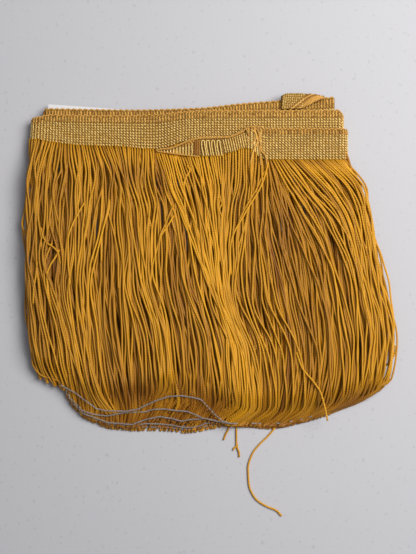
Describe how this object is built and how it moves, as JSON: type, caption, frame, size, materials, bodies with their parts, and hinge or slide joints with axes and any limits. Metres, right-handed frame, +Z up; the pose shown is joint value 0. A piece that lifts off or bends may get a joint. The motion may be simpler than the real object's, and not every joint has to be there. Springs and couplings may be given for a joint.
{
  "type": "fringe trim wound on a card",
  "caption": "Long looped chainette fringe under a narrow metallic woven heading, wound flat round a thin white card and lying on its back.",
  "frame": {"origin": "on the surface that the trim lies on, under the middle of its box", "axes": "+X along the heading, +Y from the fringe's hem up to the heading, +Z up off the surface, out of the winding's front"},
  "size_m": [0.1896, 0.218, 0.0125],
  "materials": {
    "board": "smooth matt white board",
    "heading": "woven gold metallic and orange rayon yarn, ribbed, with a scalloped top edge",
    "chainette": "twisted gold ochre rayon chainette with a soft sheen"
  },
  "bodies": {
    "root": {"card": "board", "heading": "heading", "folded_end": "heading", "fringe_front_outer": "chainette", "fringe_front_inner": "chainette", "fringe_back_inner": "chainette", "fringe_back_outer": "chainette", "loose_strand": "chainette"}
  },
  "joints": []
}
